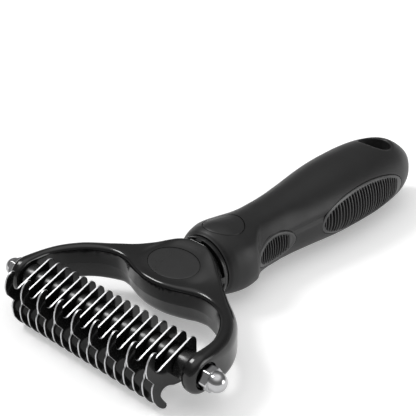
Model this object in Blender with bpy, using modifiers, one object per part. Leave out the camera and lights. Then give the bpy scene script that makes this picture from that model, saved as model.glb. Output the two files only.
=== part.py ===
"""Two-sided dematting comb: a yoke that holds seventeen hooked blades on a cross axle,
and a soft-covered handle that is pinned onto the yoke's tang.

World frame, in metres: +X runs from the blades to the end of the handle, +Y along the blade
axle, +Z up. The origin is the middle of the bounding box in X and Y, on the resting plane.
Lengths below are in millimetres. Layout coordinates have X = 0 at the bottom of the blade
gullets and Z = 0 on the common axis of axle, neck and handle.
"""

import math

import bmesh
import bpy
from mathutils import Matrix, Vector

MM = 0.001
GAP = 0.3  # clearance between neighbouring pieces

# frame
BLADE_FRONT = -4.6  # foremost point of the upper hooks
HANDLE_END = 169.6
LAYOUT_X = -(BLADE_FRONT + HANDLE_END) / 2  # world X of the layout's X = 0
AXIS_Z = 12.45  # height of the common axis above the resting plane

# blade pack
BLADES = 17
PITCH = 4.0
BLADE_THICKNESS = 0.8
AXLE_X = 9.9
AXLE_SQUARE = 4.0
AXLE_SQUARE_END = 36.7
AXLE_ROUND_RADIUS = 1.9
AXLE_END = 46.5
SPACER_RADIUS = 4.6
SPACER_BORE = 3.2

# dome nuts and washers
NUT_FLATS = 7.0
NUT_BASE = 41.4
NUT_HEX_HEIGHT = 3.6
NUT_SHOULDER = 0.85  # straight part between the hexagon and the dome
NUT_DOME_RADIUS = 3.15
WASHER_RADIUS = 4.0
WASHER_START = 40.2
WASHER_THICKNESS = 0.9
POCKET_RADIUS = 4.4
POCKET_FLOOR = 39.9

# yoke
ARM_INNER = 37.0
YOKE_HALF_HEIGHT = 6.5
INNER_FILLET = 1.6
UPPER_FILLET = 4.5
EYE_FILLET = 2.4
LOWER_FILLET = 2.9
SWEEP_START = 31.0
SWEEP = 0.0497  # rise of the top face for (mm behind SWEEP_START) ** 1.5
SWEEP_WIDTHS = (6.0, 22.0)
FACE_STEPS = (0.2, 0.4, 0.6, 0.8)
NECK_END = 50.1
NECK_RADIUS = 11.2
TANG_RADIUS = 5.6
TANG_END = 92.0

# badge
BADGE_CENTRE = 39.0
BADGE_LEVEL = 7.7
BADGE_SLOPE = math.tan(math.radians(11.5))
BADGE_HALF_X = 6.7
BADGE_HALF_Y = 10.0
BADGE_THICKNESS = 0.9

# collar
COLLAR_START = 50.4
COLLAR_DISC_START = 51.5
COLLAR_END = 53.2
COLLAR_HUB_RADIUS = 8.6
COLLAR_RIB_ANGLE = 15.0

# handle
HANDLE_START = 53.5
CORE_RADIUS = 8.2
CORE_FLANGE_RADIUS = 9.6
CORE_FLANGE_END = 57.0
CORE_END = 134.0
HANG_HOLE_X = 149.3
HANG_HOLE_RADIUS = 6.4
PIN_X = 80.0
PIN_RADIUS = 1.5

# inlays in the handle: centre X, half length, half height
REAR_GRIP = (125.6, 24.0, 8.5)
FRONT_GRIP = (78.3, 10.5, 5.6)
THUMB_PAD = (62.9, 7.3, 7.1)
REAR_GRIP_FLOOR = 10.9
FRONT_GRIP_FLOOR = 9.2
THUMB_FLOOR = 10.4

BLACK_STEEL = ("Black coated steel", (0.020, 0.020, 0.022), 0.32, 0.9)
PLASTIC = ("Glossy black nylon", (0.012, 0.012, 0.013), 0.30, 0.0)
BADGE = ("Satin dark badge", (0.022, 0.022, 0.023), 0.45, 0.0)
SPACER = ("Black spacer", (0.010, 0.010, 0.011), 0.25, 0.0)
CHROME = ("Polished chrome", (0.80, 0.80, 0.81), 0.10, 1.0)
STEEL = ("Bright steel", (0.60, 0.60, 0.61), 0.28, 1.0)
CORE = ("Rigid black core", (0.018, 0.018, 0.019), 0.50, 0.0)
RUBBER = ("Soft black rubber", (0.018, 0.018, 0.019), 0.62, 0.0)
RIB_RUBBER = ("Ribbed grip rubber", (0.013, 0.013, 0.014), 0.70, 0.0)


def clear_scene():
    for obj in list(bpy.data.objects):
        bpy.data.objects.remove(obj, do_unlink=True)
    for mesh in list(bpy.data.meshes):
        bpy.data.meshes.remove(mesh)


def new_collection(name):
    collection = bpy.data.collections.new(name)
    bpy.context.scene.collection.children.link(collection)
    return collection


def material(spec):
    name, colour, roughness, metallic = spec
    found = bpy.data.materials.get(name)
    if found:
        return found
    made = bpy.data.materials.new(name)
    made.use_nodes = True
    shader = made.node_tree.nodes["Principled BSDF"]
    shader.inputs["Base Color"].default_value = (*colour, 1.0)
    shader.inputs["Roughness"].default_value = roughness
    shader.inputs["Metallic"].default_value = metallic
    made.diffuse_color = (*colour, 1.0)
    return made


clear_scene()
PARTS = new_collection("dematting_comb")
CUTTERS = new_collection("cutters")


def put(x, y, z):
    """Layout millimetres to world metres."""
    return Vector(((x + LAYOUT_X) * MM, y * MM, (z + AXIS_Z) * MM))


def add_object(name, mesh, spec, cutter=False):
    obj = bpy.data.objects.new(name, mesh)
    if cutter:
        obj.hide_render = True
        obj.display_type = "WIRE"
        CUTTERS.objects.link(obj)
    else:
        PARTS.objects.link(obj)
        if not mesh.materials:
            mesh.materials.append(material(spec))
    return obj


def mesh_from(bm, name, sharp=40.0):
    bmesh.ops.recalc_face_normals(bm, faces=bm.faces)
    mesh = bpy.data.meshes.new(name)
    bm.to_mesh(mesh)
    bm.free()
    mesh.shade_smooth()
    mesh.set_sharp_from_angle(angle=math.radians(sharp))
    return mesh


def cylinder(name, radius, start, end, axis, sides=32, spec=None, cutter=False, turn=0.0):
    """A cylinder primitive from layout point start to end along the X, Y or Z axis."""
    bm = bmesh.new()
    length = (Vector(end) - Vector(start)).length
    bmesh.ops.create_cone(
        bm,
        cap_ends=True,
        segments=sides,
        radius1=radius * MM,
        radius2=radius * MM,
        depth=length * MM,
    )
    bmesh.ops.rotate(bm, verts=bm.verts, matrix=Matrix.Rotation(turn, 3, "Z"))
    obj = add_object(name, mesh_from(bm, name), spec, cutter)
    middle = (Vector(start) + Vector(end)) / 2
    obj.location = put(*middle)
    obj.rotation_euler = {
        "X": (0.0, math.pi / 2, 0.0),
        "Y": (math.pi / 2, 0.0, 0.0),
        "Z": (0.0, 0.0, 0.0),
    }[axis]
    return obj


def box(name, low, high, spec=None, cutter=False):
    bm = bmesh.new()
    bmesh.ops.create_cube(bm, size=1.0)
    size = (Vector(high) - Vector(low)) * MM
    bmesh.ops.scale(bm, verts=bm.verts, vec=size)
    obj = add_object(name, mesh_from(bm, name), spec, cutter)
    obj.location = put(*((Vector(low) + Vector(high)) / 2))
    return obj


def boolean(obj, other, operation="DIFFERENCE"):
    modifier = obj.modifiers.new(operation.title() + " " + other.name, "BOOLEAN")
    modifier.operation = operation
    modifier.solver = "EXACT"
    modifier.object = other
    return modifier


def turned(name, profile, steps, spec, cutter=False):
    """A (radius, height) profile turned about local Z, down its outer side first."""
    bm = bmesh.new()
    verts = [bm.verts.new((r * MM, 0.0, h * MM)) for r, h in profile]
    loop = verts[1:] + (verts[:1] if profile[0][0] > 0 else [])
    for a, b in zip(verts, loop):
        bm.edges.new((a, b))
    mesh = bpy.data.meshes.new(name)
    bm.to_mesh(mesh)
    bm.free()
    obj = add_object(name, mesh, spec, cutter)
    screw = obj.modifiers.new("Turn", "SCREW")
    screw.axis = "Z"
    screw.steps = steps
    screw.render_steps = steps
    screw.use_merge_vertices = True
    screw.merge_threshold = 0.00001
    screw.use_smooth_shade = True
    return obj


def spline(knots, x):
    """A smooth monotone-safe cubic through (x, value) knots."""
    if x <= knots[0][0]:
        return knots[0][1]
    if x >= knots[-1][0]:
        return knots[-1][1]
    i = max(k for k in range(len(knots) - 1) if knots[k][0] <= x)

    def slope(k):
        if k <= 0 or k >= len(knots) - 1:
            return 0.0 if k <= 0 else (knots[-1][1] - knots[-2][1]) / (knots[-1][0] - knots[-2][0])
        left = (knots[k][1] - knots[k - 1][1]) / (knots[k][0] - knots[k - 1][0])
        right = (knots[k + 1][1] - knots[k][1]) / (knots[k + 1][0] - knots[k][0])
        return 0.0 if left * right <= 0 else 2 * left * right / (left + right)

    x0, y0 = knots[i]
    x1, y1 = knots[i + 1]
    width = x1 - x0
    t = (x - x0) / width
    a, b = slope(i) * width, slope(i + 1) * width
    return (
        y0 * (2 * t**3 - 3 * t**2 + 1)
        + a * (t**3 - 2 * t**2 + t)
        + y1 * (3 * t**2 - 2 * t**3)
        + b * (t**3 - t**2)
    )


def smooth_step(low, high, x):
    t = min(1.0, max(0.0, (x - low) / (high - low)))
    return t * t * (3 - 2 * t)


def catmull(points, per_span):
    """An open Catmull-Rom curve through the points, per_span steps to a span."""
    points = [Vector(p) for p in points]
    out = []
    for i in range(len(points) - 1):
        p0 = points[max(i - 1, 0)]
        p1, p2 = points[i], points[i + 1]
        p3 = points[min(i + 2, len(points) - 1)]
        for step in range(per_span):
            t = step / per_span
            out.append(
                0.5
                * (
                    2 * p1
                    + (p2 - p0) * t
                    + (2 * p0 - 5 * p1 + 4 * p2 - p3) * t**2
                    + (3 * p1 - p0 - 3 * p2 + p3) * t**3
                )
            )
    out.append(points[-1])
    return out


# ---------------------------------------------------------------- blades


def blade_outline(with_upper_hook):
    """The stamped blade's outline in X and Z from the axle's centre, anticlockwise."""
    tab = [(3.1, 6.85), (4.1, 7.05), (5.1, 6.6), (5.75, 5.7), (5.95, 4.6)]
    front = [(-8.3, 2.65)]
    if with_upper_hook:
        gullet = [(-8.9, 2.3), (-9.9, 2.04), (-10.8, 2.5), (-11.35, 3.9), (-11.3, 5.6)]
        hook_inner = [(-10.95, 7.0), (-10.2, 8.35)]
        hook_outer = [(-10.35, 8.85), (-11.3, 9.2), (-12.5, 8.65), (-13.55, 7.5)]
        crescent = [(-14.25, 5.9), (-14.5, 4.0), (-14.15, 1.9)]
        upper = front + catmull(gullet, 2) + catmull(hook_inner + hook_outer, 1)
        upper = [Vector(p) for p in upper] + catmull(crescent, 1)
    else:
        upper = catmull([(-8.3, 2.65), (-9.7, 1.9), (-10.9, 0.8), (-11.5, -0.4)], 2)
    lower_outer = [(-11.6, -1.5), (-12.3, -2.6), (-12.5, -4.2), (-12.15, -7.0)]
    lower_outer += [(-11.45, -8.5), (-10.3, -10.3), (-8.8, -11.8), (-7.6, -12.4)]
    tip = [(-6.85, -11.8), (-6.95, -10.8)]
    lower_inner = [(-8.4, -8.7), (-9.2, -6.8), (-8.7, -5.45), (-7.45, -4.85), (-5.9, -5.0)]
    lower_inner += [(-3.9, -5.9), (-1.7, -6.4)]
    back = [(1.5, -6.6), (4.2, -6.3), (5.5, -5.2), (5.95, -3.8)]
    points = catmull(tab[::-1], 1) + upper
    points += catmull(lower_outer, 2) + catmull(tip, 1)
    points += catmull(lower_inner, 2) + catmull(back, 1)
    return [(p[0], p[1]) for p in points]


def blade_mesh(name, with_upper_hook):
    curve = bpy.data.curves.new(name, "CURVE")
    curve.dimensions = "2D"
    curve.fill_mode = "BOTH"
    curve.extrude = BLADE_THICKNESS * MM / 2
    half = AXLE_SQUARE / 2 + GAP
    bore = [(half, half), (-half, half), (-half, -half), (half, -half)]
    for outline in (blade_outline(with_upper_hook), bore):
        poly = curve.splines.new("POLY")
        poly.points.add(len(outline) - 1)
        for point, (x, z) in zip(poly.points, outline):
            point.co = (x * MM, z * MM, 0.0, 1.0)
        poly.use_cyclic_u = True
    holder = bpy.data.objects.new(name, curve)
    CUTTERS.objects.link(holder)
    graph = bpy.context.evaluated_depsgraph_get()
    mesh = bpy.data.meshes.new_from_object(holder.evaluated_get(graph))
    bpy.data.objects.remove(holder)
    bm = bmesh.new()
    bm.from_mesh(mesh)
    bpy.data.meshes.remove(mesh)
    bmesh.ops.remove_doubles(bm, verts=bm.verts, dist=0.000001)
    made = mesh_from(bm, name, 30.0)
    made.materials.append(material(BLACK_STEEL))
    return made


def blade_y(number):
    return (number - (BLADES + 1) / 2) * PITCH


def make_blades():
    hooked = blade_mesh("blade_two_hooks", True)
    plain = blade_mesh("blade_lower_hook", False)
    for number in range(1, BLADES + 1):
        mesh = hooked if number % 2 else plain
        obj = add_object(f"blade_{number:02d}", mesh, BLACK_STEEL)
        obj.rotation_euler = (math.pi / 2, 0.0, 0.0)
        obj.location = put(AXLE_X, blade_y(number), 0.0)


def spacer_profile(length):
    half = length / 2
    return [
        (SPACER_BORE, half),
        (SPACER_RADIUS, half),
        (SPACER_RADIUS, -half),
        (SPACER_BORE, -half),
    ]


def make_spacers():
    length = PITCH - BLADE_THICKNESS - 2 * GAP
    for number in range(1, BLADES):
        obj = turned(f"spacer_{number:02d}", spacer_profile(length), 16, SPACER)
        obj.rotation_euler = (math.pi / 2, 0.0, 0.0)
        obj.location = put(AXLE_X, blade_y(number) + PITCH / 2, 0.0)
    start = blade_y(BLADES) + BLADE_THICKNESS / 2 + GAP
    end = ARM_INNER - GAP
    for side, name in ((-1, "end_spacer_near"), (1, "end_spacer_far")):
        obj = turned(name, spacer_profile(end - start), 20, SPACER)
        obj.rotation_euler = (math.pi / 2, 0.0, 0.0)
        obj.location = put(AXLE_X, side * (start + end) / 2, 0.0)


def make_axle():
    half = AXLE_SQUARE / 2
    low = (AXLE_X - half, -AXLE_SQUARE_END, -half)
    high = (AXLE_X + half, AXLE_SQUARE_END, half)
    axle = box("blade_axle", low, high, STEEL)
    for side, name in ((-1, "axle_thread_near"), (1, "axle_thread_far")):
        start = (AXLE_X, side * (AXLE_SQUARE_END - 1.0), 0.0)
        end = (AXLE_X, side * AXLE_END, 0.0)
        thread = cylinder(name, AXLE_ROUND_RADIUS, start, end, "Y", 16, cutter=True)
        boolean(axle, thread, "UNION")
    return axle


def make_nut(side, name):
    """A dome nut: a hexagon with a chamfered shoulder, a dome and a blind bore."""
    corner = NUT_FLATS / math.sqrt(3)
    start = (AXLE_X, side * NUT_BASE, 0.0)
    end = (AXLE_X, side * (NUT_BASE + NUT_HEX_HEIGHT), 0.0)
    nut = cylinder(name, corner, start, end, "Y", 6, CHROME, turn=math.radians(30))
    top = NUT_HEX_HEIGHT + NUT_SHOULDER
    profile = [(0.0, top + NUT_DOME_RADIUS)]
    for step in range(1, 6):
        angle = math.radians(90 - 18 * step)
        radius = NUT_DOME_RADIUS * math.cos(angle)
        profile.append((radius, top + NUT_DOME_RADIUS * math.sin(angle)))
    profile += [(NUT_DOME_RADIUS, NUT_HEX_HEIGHT - 1.0), (0.0, NUT_HEX_HEIGHT - 1.0)]
    cap = turned(name + "_dome", profile, 20, None, cutter=True)
    cap.rotation_euler = (-side * math.pi / 2, 0.0, 0.0)
    cap.location = put(AXLE_X, side * NUT_BASE, 0.0)
    boolean(nut, cap, "UNION")
    bore_end = (AXLE_X, side * (AXLE_END + GAP), 0.0)
    bore_start = (AXLE_X, side * (NUT_BASE - 1.0), 0.0)
    bore = cylinder(name + "_bore", AXLE_ROUND_RADIUS + GAP, bore_start, bore_end, "Y", 16, cutter=True)
    boolean(nut, bore)
    return nut


def make_washer(side, name):
    half = WASHER_THICKNESS / 2
    profile = [
        (AXLE_ROUND_RADIUS + GAP, half),
        (WASHER_RADIUS, half),
        (WASHER_RADIUS, -half),
        (AXLE_ROUND_RADIUS + GAP, -half),
    ]
    washer = turned(name, profile, 20, BLACK_STEEL)
    washer.rotation_euler = (math.pi / 2, 0.0, 0.0)
    washer.location = put(AXLE_X, side * (WASHER_START + half), 0.0)
    return washer


# ---------------------------------------------------------------- yoke

# plan of one half: outer wall, outer edge of the flat top face, inner wall
YOKE_PLAN = [
    ((9.9, 41.9), (9.9, 39.5), (9.9, 37.0)),
    ((14.0, 41.7), (13.8, 39.0), (13.5, 37.0)),
    ((18.4, 41.2), (18.0, 38.2), (17.5, 36.6)),
    ((22.9, 40.0), (21.6, 37.0), (20.9, 35.3)),
    ((27.4, 37.7), (25.1, 35.0), (23.9, 33.6)),
    ((31.4, 34.6), (28.7, 32.2), (27.2, 31.0)),
    ((34.4, 31.2), (31.3, 29.2), (29.6, 28.1)),
    ((37.0, 27.3), (34.0, 26.0), (31.1, 25.3)),
    ((39.5, 23.4), (37.3, 22.4), (32.1, 22.2)),
    ((42.1, 19.8), (40.2, 18.8), (32.5, 18.8)),
    ((44.7, 16.8), (42.6, 15.9), (32.0, 15.2)),
    ((47.3, 14.2), (44.3, 13.2), (30.9, 12.2)),
    ((49.5, 12.2), (45.9, 10.9), (29.8, 9.2)),
    ((50.1, 11.1), (47.0, 9.1), (29.2, 7.2)),
    ((50.1, 8.6), (48.1, 7.1), (28.7, 5.3)),
    ((50.1, 5.8), (49.2, 4.9), (28.4, 3.6)),
    ((50.1, 2.9), (49.8, 2.6), (28.25, 1.8)),
    ((50.1, 0.0), (49.9, 0.0), (28.2, 0.0)),
]


def face_level(x, y):
    """Height of the yoke's face over its middle plane: it sweeps up towards the neck and is
    flat round the badge."""
    run = max(0.0, x - SWEEP_START)
    swept = YOKE_HALF_HEIGHT + SWEEP * run**1.5 * (1.0 - smooth_step(*SWEEP_WIDTHS, abs(y)))
    flat = BADGE_LEVEL + BADGE_SLOPE * (x - BADGE_CENTRE)
    away = math.hypot((x - BADGE_CENTRE) / BADGE_HALF_X, y / BADGE_HALF_Y)
    return flat + (swept - flat) * smooth_step(1.0, 1.45, away)


def yoke_ring(row, turn):
    """One closed section of the yoke, as layout points, starting at the middle of the inner
    wall. The sections of the rounded end are the first one, turned about the axle."""
    outer, crease, inner = (Vector(point) for point in row)
    width = (outer - inner).length
    to_crease = (crease - inner).length
    at_end = outer[0] > NECK_END - 0.01
    neck = 1.0 if at_end else 0.85 * smooth_step(39.0, NECK_END, outer[0])
    end_height = math.sqrt(max(0.0, NECK_RADIUS**2 - outer[1] ** 2)) if at_end else 0.0
    end_height = min(end_height, face_level(*outer))
    upper_drop = EYE_FILLET + (UPPER_FILLET - EYE_FILLET) * smooth_step(AXLE_X, 22.0, outer[0])
    low_crease = outer.lerp(inner, min(LOWER_FILLET, 0.5 * width) / width).lerp(crease, neck)
    low_depth = min(4.0, 0.45 * width)
    draft = 0.25 * low_depth

    def flank(edge, fraction, drop):
        """Plan point and height between the flat face's edge, at 0, and the wall, at 1."""
        angle = fraction * math.pi / 2
        height = face_level(*edge)
        rounded = edge.lerp(outer, math.sin(angle))
        rounded_height = height - drop * (1.0 - math.cos(angle))
        flared = edge.lerp(outer, fraction)
        flared_height = height + (end_height - height) * fraction**2
        plan = rounded.lerp(flared, neck)
        return plan, rounded_height + (flared_height - rounded_height) * neck

    def face(depth):
        """Plan point and height on the face, at a depth from the inner wall."""
        plan = inner.lerp(crease, depth / to_crease)
        return plan, face_level(*plan)

    def wall(depth, drop):
        return inner.lerp(crease, depth / to_crease), YOKE_HALF_HEIGHT - drop

    corner = INNER_FILLET * (1.0 - math.sqrt(0.5))
    upper = [wall(0.0, INNER_FILLET), wall(corner, corner), face(INNER_FILLET)]
    upper += [face(INNER_FILLET + (to_crease - INNER_FILLET) * f) for f in FACE_STEPS]
    upper += [flank(crease, f, upper_drop) for f in (0.0, 0.36, 0.7, 1.0)]
    low_fillet = low_depth - draft
    lower = [flank(low_crease, f, LOWER_FILLET) for f in (1.0, 0.64, 0.32, 0.0)]
    low_width = (low_crease - inner).length
    lower += [face(low_width + (low_depth - low_width) * f) for f in FACE_STEPS]
    lower.append(face(low_depth))
    lower += [wall(draft + 0.3 * low_fillet, 0.3 * low_fillet), wall(draft, low_fillet)]
    if turn:
        share = math.sin(turn)
        mirrored = upper[::-1]
        lower = [
            (a[0].lerp(b[0], share), a[1] + (b[1] - a[1]) * share)
            for a, b in zip(lower, mirrored)
        ]
    ring = [(inner.lerp(crease, 0.3 * draft / to_crease), 0.0)] + upper + [(outer, 0.0)]
    ring += [(plan, -level) for plan, level in lower]
    back, up = math.sin(turn), math.cos(turn)
    return [put(plan[0] - abs(level) * back, plan[1], level * up) for plan, level in ring]


def loft(rings, cap_first, cap_last):
    bm = bmesh.new()
    rows = [[bm.verts.new(p) for p in ring] for ring in rings]
    for a, b in zip(rows, rows[1:]):
        for i in range(len(a)):
            j = (i + 1) % len(a)
            bm.faces.new((a[i], a[j], b[j], b[i]))
    if cap_first:
        bm.faces.new(rows[0])
    if cap_last:
        bm.faces.new(rows[-1])
    return bm


def badge_prism(name, side, grow, bottom, top, spec=None, cutter=False, sides=32):
    """An oval plate lying in the sloping face of the yoke, above or below."""
    bm = bmesh.new()
    bmesh.ops.create_cone(
        bm, cap_ends=True, segments=sides, radius1=1.0, radius2=1.0, depth=(top - bottom) * MM
    )
    scale = ((BADGE_HALF_X + grow) * MM, (BADGE_HALF_Y + grow) * MM, 1.0)
    bmesh.ops.scale(bm, verts=bm.verts, vec=scale)
    bmesh.ops.translate(bm, verts=bm.verts, vec=(0.0, 0.0, (top + bottom) / 2 * MM))
    obj = add_object(name, mesh_from(bm, name), spec, cutter)
    slope = math.atan(BADGE_SLOPE)
    obj.location = put(BADGE_CENTRE, 0.0, side * BADGE_LEVEL)
    obj.rotation_euler = (0.0, -slope, 0.0) if side > 0 else (math.pi, slope, 0.0)
    return obj


def make_yoke():
    turns = [math.radians(angle) for angle in (90, 72, 54, 36, 18)]
    rings = [yoke_ring(YOKE_PLAN[0], turn) for turn in turns]
    rings += [yoke_ring(row, 0.0) for row in YOKE_PLAN]
    bm = loft(rings, False, False)
    bmesh.ops.remove_doubles(bm, verts=bm.verts, dist=0.000001)
    yoke = add_object("yoke_frame", mesh_from(bm, "yoke_frame", 35.0), PLASTIC)
    mirror = yoke.modifiers.new("Other half", "MIRROR")
    mirror.use_axis = (False, True, False)
    mirror.use_mirror_merge = True
    mirror.merge_threshold = 0.00001
    tang = cylinder(
        "tang_rod", TANG_RADIUS, (NECK_END - 6.0, 0, 0), (TANG_END, 0, 0), "X", 24, cutter=True
    )
    boolean(yoke, tang, "UNION")
    for side, word in ((-1, "near"), (1, "far")):
        bore = cylinder(
            "eye_bore_" + word,
            AXLE_ROUND_RADIUS + GAP,
            (AXLE_X, side * 30.0, 0.0),
            (AXLE_X, side * 48.0, 0.0),
            "Y",
            16,
            cutter=True,
        )
        boolean(yoke, bore)
        pocket = cylinder(
            "nut_pocket_" + word,
            POCKET_RADIUS,
            (AXLE_X, side * POCKET_FLOOR, 0.0),
            (AXLE_X, side * 50.0, 0.0),
            "Y",
            28,
            cutter=True,
        )
        boolean(yoke, pocket)
    for side, word in ((1, "upper"), (-1, "lower")):
        recess = badge_prism("badge_recess_" + word, side, GAP / 2, -1.2, 3.0, cutter=True)
        boolean(yoke, recess)
        badge_prism("badge_" + word, side, -GAP / 2, -BADGE_THICKNESS, -0.02, BADGE)
    pin_hole = cylinder(
        "tang_pin_hole", PIN_RADIUS + GAP, (PIN_X, 0, -9.0), (PIN_X, 0, 9.0), "Z", 16, cutter=True
    )
    boolean(yoke, pin_hole)
    return yoke


# ---------------------------------------------------------------- collar


def make_collar():
    """A ring behind a ring-shaped slot that four ribs bridge."""
    bore = TANG_RADIUS + GAP
    edge = 0.3
    profile = [
        (bore, COLLAR_END),
        (NECK_RADIUS - edge, COLLAR_END),
        (NECK_RADIUS, COLLAR_END - edge),
        (NECK_RADIUS, COLLAR_DISC_START + edge),
        (NECK_RADIUS - edge, COLLAR_DISC_START),
        (COLLAR_HUB_RADIUS, COLLAR_DISC_START),
        (COLLAR_HUB_RADIUS, COLLAR_START),
        (bore, COLLAR_START),
    ]
    collar = turned("neck_collar", profile, 32, PLASTIC)
    collar.rotation_euler = (0.0, math.pi / 2, 0.0)
    collar.location = put(0.0, 0.0, 0.0)
    length = NECK_RADIUS - 0.1 - (COLLAR_HUB_RADIUS - 0.8)
    width = 2 * NECK_RADIUS * math.sin(math.radians(COLLAR_RIB_ANGLE / 2))
    for number in range(4):
        middle = (COLLAR_HUB_RADIUS - 0.8) + length / 2
        angle = number * math.pi / 2
        depth = COLLAR_DISC_START + 0.4 - COLLAR_START
        bm = bmesh.new()
        bmesh.ops.create_cube(bm, size=1.0)
        bmesh.ops.scale(bm, verts=bm.verts, vec=(depth * MM, width * MM, length * MM))
        bmesh.ops.translate(bm, verts=bm.verts, vec=(0.0, 0.0, middle * MM))
        bmesh.ops.rotate(bm, verts=bm.verts, matrix=Matrix.Rotation(angle, 3, "X"))
        rib = add_object(f"collar_rib_{number}", mesh_from(bm, f"collar_rib_{number}"), None, True)
        rib.location = put(COLLAR_START + depth / 2, 0.0, 0.0)
        boolean(collar, rib, "UNION")
    return collar


# ---------------------------------------------------------------- handle

# X and radius of the handle's mean section, then how far the top, the underside and the
# sides depart from that radius
HANDLE_RADIUS = [
    (53.5, 11.3),
    (54.7, 12.2),
    (57.2, 13.05),
    (60.3, 13.3),
    (64.9, 12.9),
    (69.6, 12.2),
    (74.3, 11.6),
    (79.3, 11.3),
    (84.8, 11.3),
    (90.3, 11.5),
    (96.1, 11.95),
    (102.3, 12.6),
    (108.5, 13.35),
    (114.9, 14.0),
    (121.0, 14.45),
    (127.3, 14.65),
    (133.4, 14.65),
    (139.6, 14.4),
    (145.7, 13.8),
    (151.8, 12.8),
    (157.4, 11.0),
    (162.0, 8.4),
    (165.6, 5.8),
    (168.2, 3.3),
    (169.6, 0.6),
]
TOP_FACTOR = [(53.5, 1.0), (66.0, 1.0), (75.0, 1.05), (90.0, 1.08), (110.0, 1.055), (130.0, 1.045)]
TOP_FACTOR += [(155.0, 1.06), (169.6, 1.0)]
BOTTOM_FACTOR = [(53.5, 0.86), (60.0, 0.92), (70.0, 0.98), (90.0, 0.96), (110.0, 0.9)]
BOTTOM_FACTOR += [(127.0, 0.85), (169.6, 0.85)]
SIDE_FACTOR = [(53.5, 1.0), (96.0, 1.0), (118.0, 1.03), (150.0, 1.03), (169.6, 1.0)]
HANDLE_STATIONS = [53.5, 54.4, 56.5, 60.0, 63.5, 65.5, 67.5, 70.0, 74.0, 80.0, 88.0, 96.0, 104.0]
HANDLE_STATIONS += [112.0, 120.0, 130.0, 139.0, 146.0, 152.0, 156.5, 160.5, 164.0, 166.8, 168.7, 169.6]


def crease_x(angle):
    """Where the bell's rear crease lies, for an angle in degrees down from the top."""
    return 64.6 + 4.5 * ((angle - 86.0) / 45.0) ** 2


def handle_radius(x, angle):
    """Polar radius of the handle at X, for an angle in degrees down from the top."""
    base = spline(HANDLE_RADIUS, x)
    side = smooth_step(26.0, 58.0, angle) * (1.0 - smooth_step(118.0, 150.0, angle))
    swell = 1.05 * smooth_step(55.0, 65.0, x)
    hollow = 0.75 * (1.0 - smooth_step(84.0, 99.0, x))
    edge = crease_x(min(angle, 140.0))
    drop = smooth_step(edge, edge + 5.0, x)
    base += side * (swell * (1.0 - drop) - hollow * drop)
    wide = base * spline(SIDE_FACTOR, x)
    tall = base * spline(TOP_FACTOR if angle < 90 else BOTTOM_FACTOR, x)
    c, s = math.cos(math.radians(angle)), math.sin(math.radians(angle))
    return 1.0 / math.sqrt((c / tall) ** 2 + (s / wide) ** 2)


def handle_rings(stations, sides, inset=0.0):
    rings = []
    for x in stations:
        ring = []
        for number in range(sides):
            turn = 2 * math.pi * number / sides
            angle = math.degrees(turn)
            angle = angle if angle <= 180 else 360 - angle
            radius = max(0.05, handle_radius(x, angle) - inset)
            ring.append(put(x, radius * math.sin(turn), radius * math.cos(turn)))
        rings.append(ring)
    return rings


def oval_prism(name, oval, axis, start, end, grow, spec=None, cutter=False, sides=32):
    """An oval prism whose outline lies across the Y or Z axis, between start and end."""
    centre, half_long, half_high = oval
    bm = bmesh.new()
    bmesh.ops.create_cone(
        bm,
        cap_ends=True,
        segments=sides,
        radius1=1.0,
        radius2=1.0,
        depth=abs(end - start) * MM,
    )
    size = ((half_long + grow) * MM, (half_high + grow) * MM, 1.0)
    bmesh.ops.scale(bm, verts=bm.verts, vec=size)
    obj = add_object(name, mesh_from(bm, name), spec, cutter)
    middle = (start + end) / 2
    if axis == "Y":
        obj.rotation_euler = (math.pi / 2, 0.0, 0.0)
        obj.location = put(centre, middle, 0.0)
    else:
        obj.location = put(centre, 0.0, middle)
    return obj


def ribbed_body(name, oval, ribs, first, last, depth, side):
    """A slice of the handle's skin with ribs round it, to be trimmed to an oval."""
    centre, half_long, half_high = oval
    low, high = centre - half_long - 1.0, centre + half_long + 1.0
    step = (last - first) / (ribs - 1)
    stations = [low, first - step * 0.5]
    for number in range(ribs):
        middle = first + number * step
        stations.append(middle)
        if number < ribs - 1:
            stations.append(middle + step * 0.5)
    stations += [last + step * 0.5, high]
    angles = [38 + 104 * k / 7 for k in range(8)]
    rings = []
    for x in stations:
        offset = (x - first) / step
        valley = first - 0.4 * step < x < last + 0.4 * step and abs(offset - round(offset)) > 0.4
        ring = []
        for angle in angles:
            radius = handle_radius(x, angle) - (depth if valley else 0.0)
            turn = math.radians(angle)
            ring.append(put(x, side * radius * math.sin(turn), radius * math.cos(turn)))
        ring.append(put(x, side * 3.0, -6.0))
        ring.append(put(x, side * 3.0, 6.0))
        rings.append(ring)
    bm = loft(rings, True, True)
    return mesh_from(bm, name, 30.0)


def make_grip(name, oval, floor, ribs, first, last, depth, side):
    mesh = ribbed_body(name, oval, ribs, first, last, depth, side)
    grip = add_object(name, mesh, RIB_RUBBER)
    trim = oval_prism(
        name + "_trim",
        oval,
        "Y",
        side * (floor + GAP),
        side * 20.0,
        -GAP / 2,
        cutter=True,
    )
    boolean(grip, trim, "INTERSECT")
    return grip


def make_thumb_pad(name, side):
    mesh = mesh_from(loft(handle_rings(HANDLE_STATIONS[:10], 28), True, True), name)
    pad = add_object(name, mesh, RUBBER)
    trim = oval_prism(
        name + "_trim",
        THUMB_PAD,
        "Z",
        side * (THUMB_FLOOR + GAP),
        side * 20.0,
        -GAP / 2,
        cutter=True,
    )
    boolean(pad, trim, "INTERSECT")
    return pad


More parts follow.
